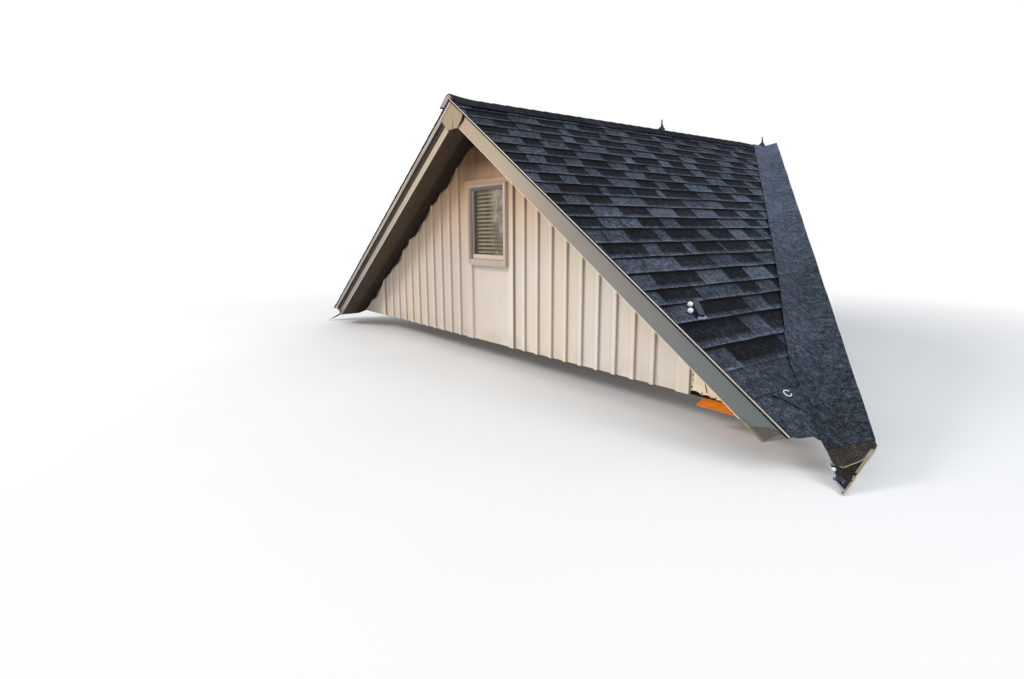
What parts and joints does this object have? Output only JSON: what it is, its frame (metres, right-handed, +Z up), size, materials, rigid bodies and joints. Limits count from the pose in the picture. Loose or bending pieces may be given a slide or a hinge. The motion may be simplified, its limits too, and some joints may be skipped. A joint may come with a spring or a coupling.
{
  "type": "gable dormer window",
  "caption": "Gable dormer framed over a sloping main roof, with a board-and-batten gable wall, a small blinded window, shingled slopes and valley strips.",
  "frame": {"origin": "middle of the sole plate's bevelled underside, in the plane of the main roof's deck", "axes": "+X along the gable to the right seen from the front, +Y into the building up the main roof, +Z up"},
  "size_m": [6.516, 4.85, 2.3075],
  "materials": {
    "framing": "sawn softwood",
    "oriented_strand_board": "sheathing board",
    "shingle": "mineral granules on asphalt, slate grey",
    "shingle_strip": "mineral granules on asphalt, smooth sheet",
    "flashing": "pale coated sheet",
    "metal_wrap": "satin coated sheet, tan to grey",
    "soffit": "dark brown stain",
    "siding": "cream paint",
    "window_white": "off-white",
    "glass": "clear",
    "blind": "matt slats",
    "membrane": "matt orange membrane",
    "post": "black moulded"
  },
  "bodies": {
    "root": {"sole_plate": "framing", "studs": "framing", "window_framing": "framing", "top_plate_left": "framing", "top_plate_right": "framing", "ridge_board": "framing", "rafters_left": "framing", "rafters_right": "framing", "valley_sleeper_left": "framing", "valley_sleeper_right": "framing", "overhang_framing_left": "framing", "overhang_framing_right": "framing", "deck_left": "oriented_strand_board", "deck_right": "oriented_strand_board", "shingles_left": "shingle", "shingles_right": "shingle", "ridge_caps": "shingle", "ridge_posts": "post", "valley_strip_left": "shingle_strip", "valley_strip_right": "shingle_strip", "valley_flashing_left": "flashing", "valley_flashing_right": "flashing", "bargeboard_left": "metal_wrap", "bargeboard_right": "metal_wrap", "peak_gusset": "metal_wrap", "drip_edge_left": "flashing", "drip_edge_right": "flashing", "soffit_left": "soffit", "soffit_right": "soffit", "eave_fascia_left": "metal_wrap", "eave_fascia_right": "metal_wrap", "gable_sheathing": "oriented_strand_board", "siding": "siding", "foot_membrane": "membrane", "battens_left": "siding", "battens_right": "siding", "corner_trim_left": "siding", "corner_trim_right": "siding", "window_casing": "siding", "window_frame": "window_white", "window_sash": "window_white", "window_glass": "glass", "window_blind": "blind"}
  },
  "joints": []
}
